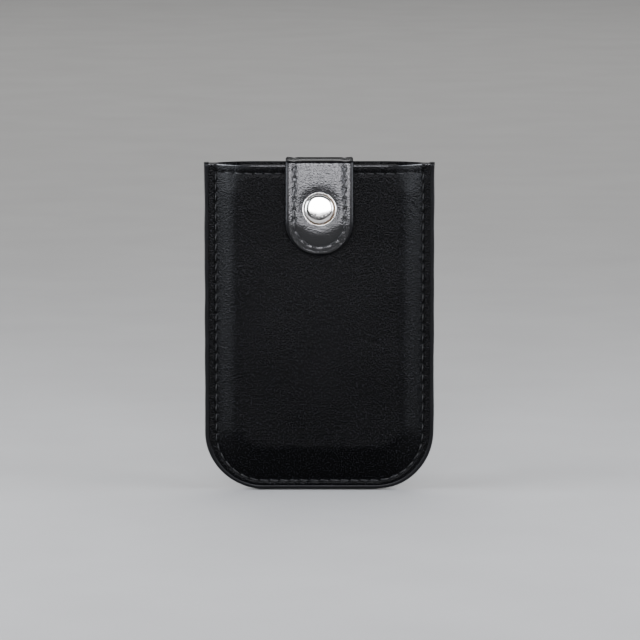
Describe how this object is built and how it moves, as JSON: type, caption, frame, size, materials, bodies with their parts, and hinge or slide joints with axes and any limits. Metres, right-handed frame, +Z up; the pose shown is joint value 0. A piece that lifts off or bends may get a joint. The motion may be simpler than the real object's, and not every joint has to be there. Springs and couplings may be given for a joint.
{
  "type": "card holder",
  "caption": "Upright soft case for cards: stitched pouch with rounded bottom corners, stepped card sleeves that pull out, and a snap strap over the mouth.",
  "frame": {"origin": "the centre of the bottom edge, in the plane of the side seams", "axes": "+Z up along the height, +Y towards the back, +X to the right seen from the front"},
  "size_m": [0.075, 0.0182, 0.1096],
  "materials": {
    "case_leather": "fine-grained glossy coated leather, near black",
    "strap_leather": "smooth glossy coated leather, near black, painted edges",
    "sleeve_leather": "thin matt coated leather, near black",
    "lining": "fine woven lining, dark grey",
    "edge_paint": "smooth semi-gloss edge paint, black",
    "thread": "waxed black thread",
    "ribbon": "thin ribbed ribbon, black",
    "snap_metal": "polished nickel plate"
  },
  "bodies": {
    "pouch": {"front_panel": "case_leather", "front_lining": "lining", "back_panel": "case_leather", "back_lining": "lining", "edge_paint": "edge_paint", "seam_stitching": "thread", "front_hem_stitching": "thread", "back_hem_stitching": "thread", "snap_stud": "snap_metal", "snap_stud_rivet": "snap_metal"},
    "sleeve_5": {"sleeve_5_back": "sleeve_leather", "sleeve_5_front": "sleeve_leather", "sleeve_5_edges": "sleeve_leather", "sleeve_5_stitching": "thread", "link_tape_5": "ribbon"},
    "sleeve_4": {"sleeve_4_back": "sleeve_leather", "sleeve_4_front": "sleeve_leather", "sleeve_4_edges": "sleeve_leather", "sleeve_4_stitching": "thread", "link_tape_4": "ribbon"},
    "sleeve_3": {"sleeve_3_back": "sleeve_leather", "sleeve_3_front": "sleeve_leather", "sleeve_3_edges": "sleeve_leather", "sleeve_3_stitching": "thread", "link_tape_3": "ribbon"},
    "sleeve_2": {"sleeve_2_back": "sleeve_leather", "sleeve_2_front": "sleeve_leather", "sleeve_2_edges": "sleeve_leather", "sleeve_2_stitching": "thread", "link_tape_2": "ribbon"},
    "sleeve_1": {"sleeve_1_back": "sleeve_leather", "sleeve_1_front": "sleeve_leather", "sleeve_1_edges": "sleeve_leather", "sleeve_1_stitching": "thread", "link_tape_1": "ribbon", "riser_outer_ply": "strap_leather", "riser_inner_ply": "strap_leather", "riser_stitching": "thread", "strap_rear_fold": "strap_leather"},
    "strap_bridge": {"bridge_outer_ply": "strap_leather", "bridge_inner_ply": "strap_leather", "bridge_stitching": "thread", "strap_front_fold": "strap_leather"},
    "strap_flap": {"flap_outer_ply": "strap_leather", "flap_inner_ply": "strap_leather", "flap_stitching": "thread", "snap_cap": "snap_metal", "snap_socket": "snap_metal", "snap_spring": "snap_metal"}
  },
  "joints": [
    {"name": "pull", "type": "slide", "parent": "pouch", "child": "sleeve_5", "axis": [0, 0, 1], "range_m": [0, 0.01], "deforming": ["link_tape_5"]},
    {"name": "sleeve_4_rise", "type": "slide", "parent": "sleeve_5", "child": "sleeve_4", "axis": [0, 0, 1], "range_m": [0, 0.01], "deforming": ["link_tape_4"]},
    {"name": "sleeve_3_rise", "type": "slide", "parent": "sleeve_4", "child": "sleeve_3", "axis": [0, 0, 1], "range_m": [0, 0.01], "deforming": ["link_tape_3"]},
    {"name": "sleeve_2_rise", "type": "slide", "parent": "sleeve_3", "child": "sleeve_2", "axis": [0, 0, 1], "range_m": [0, 0.01], "deforming": ["link_tape_2"]},
    {"name": "sleeve_1_rise", "type": "slide", "parent": "sleeve_2", "child": "sleeve_1", "axis": [0, 0, 1], "range_m": [0, 0.01], "deforming": ["link_tape_1"]},
    {"name": "rear_fold", "type": "hinge", "parent": "sleeve_1", "child": "strap_bridge", "pos_m": [0, 0.0036, 0.1084], "axis": [-1, 0, 0], "range_deg": [0, 90]},
    {"name": "tab_open", "type": "hinge", "parent": "strap_bridge", "child": "strap_flap", "pos_m": [0, -0.0095, 0.1084], "axis": [-1, 0, 0], "range_deg": [0, 90]}
  ],
  "couplings": [
    {"joint": "sleeve_4_rise", "follows": "pull", "ratio": 1},
    {"joint": "sleeve_3_rise", "follows": "pull", "ratio": 1},
    {"joint": "sleeve_2_rise", "follows": "pull", "ratio": 1},
    {"joint": "sleeve_1_rise", "follows": "pull", "ratio": 1},
    {"joint": "rear_fold", "follows": "pull", "rad_per_m": 157}
  ]
}
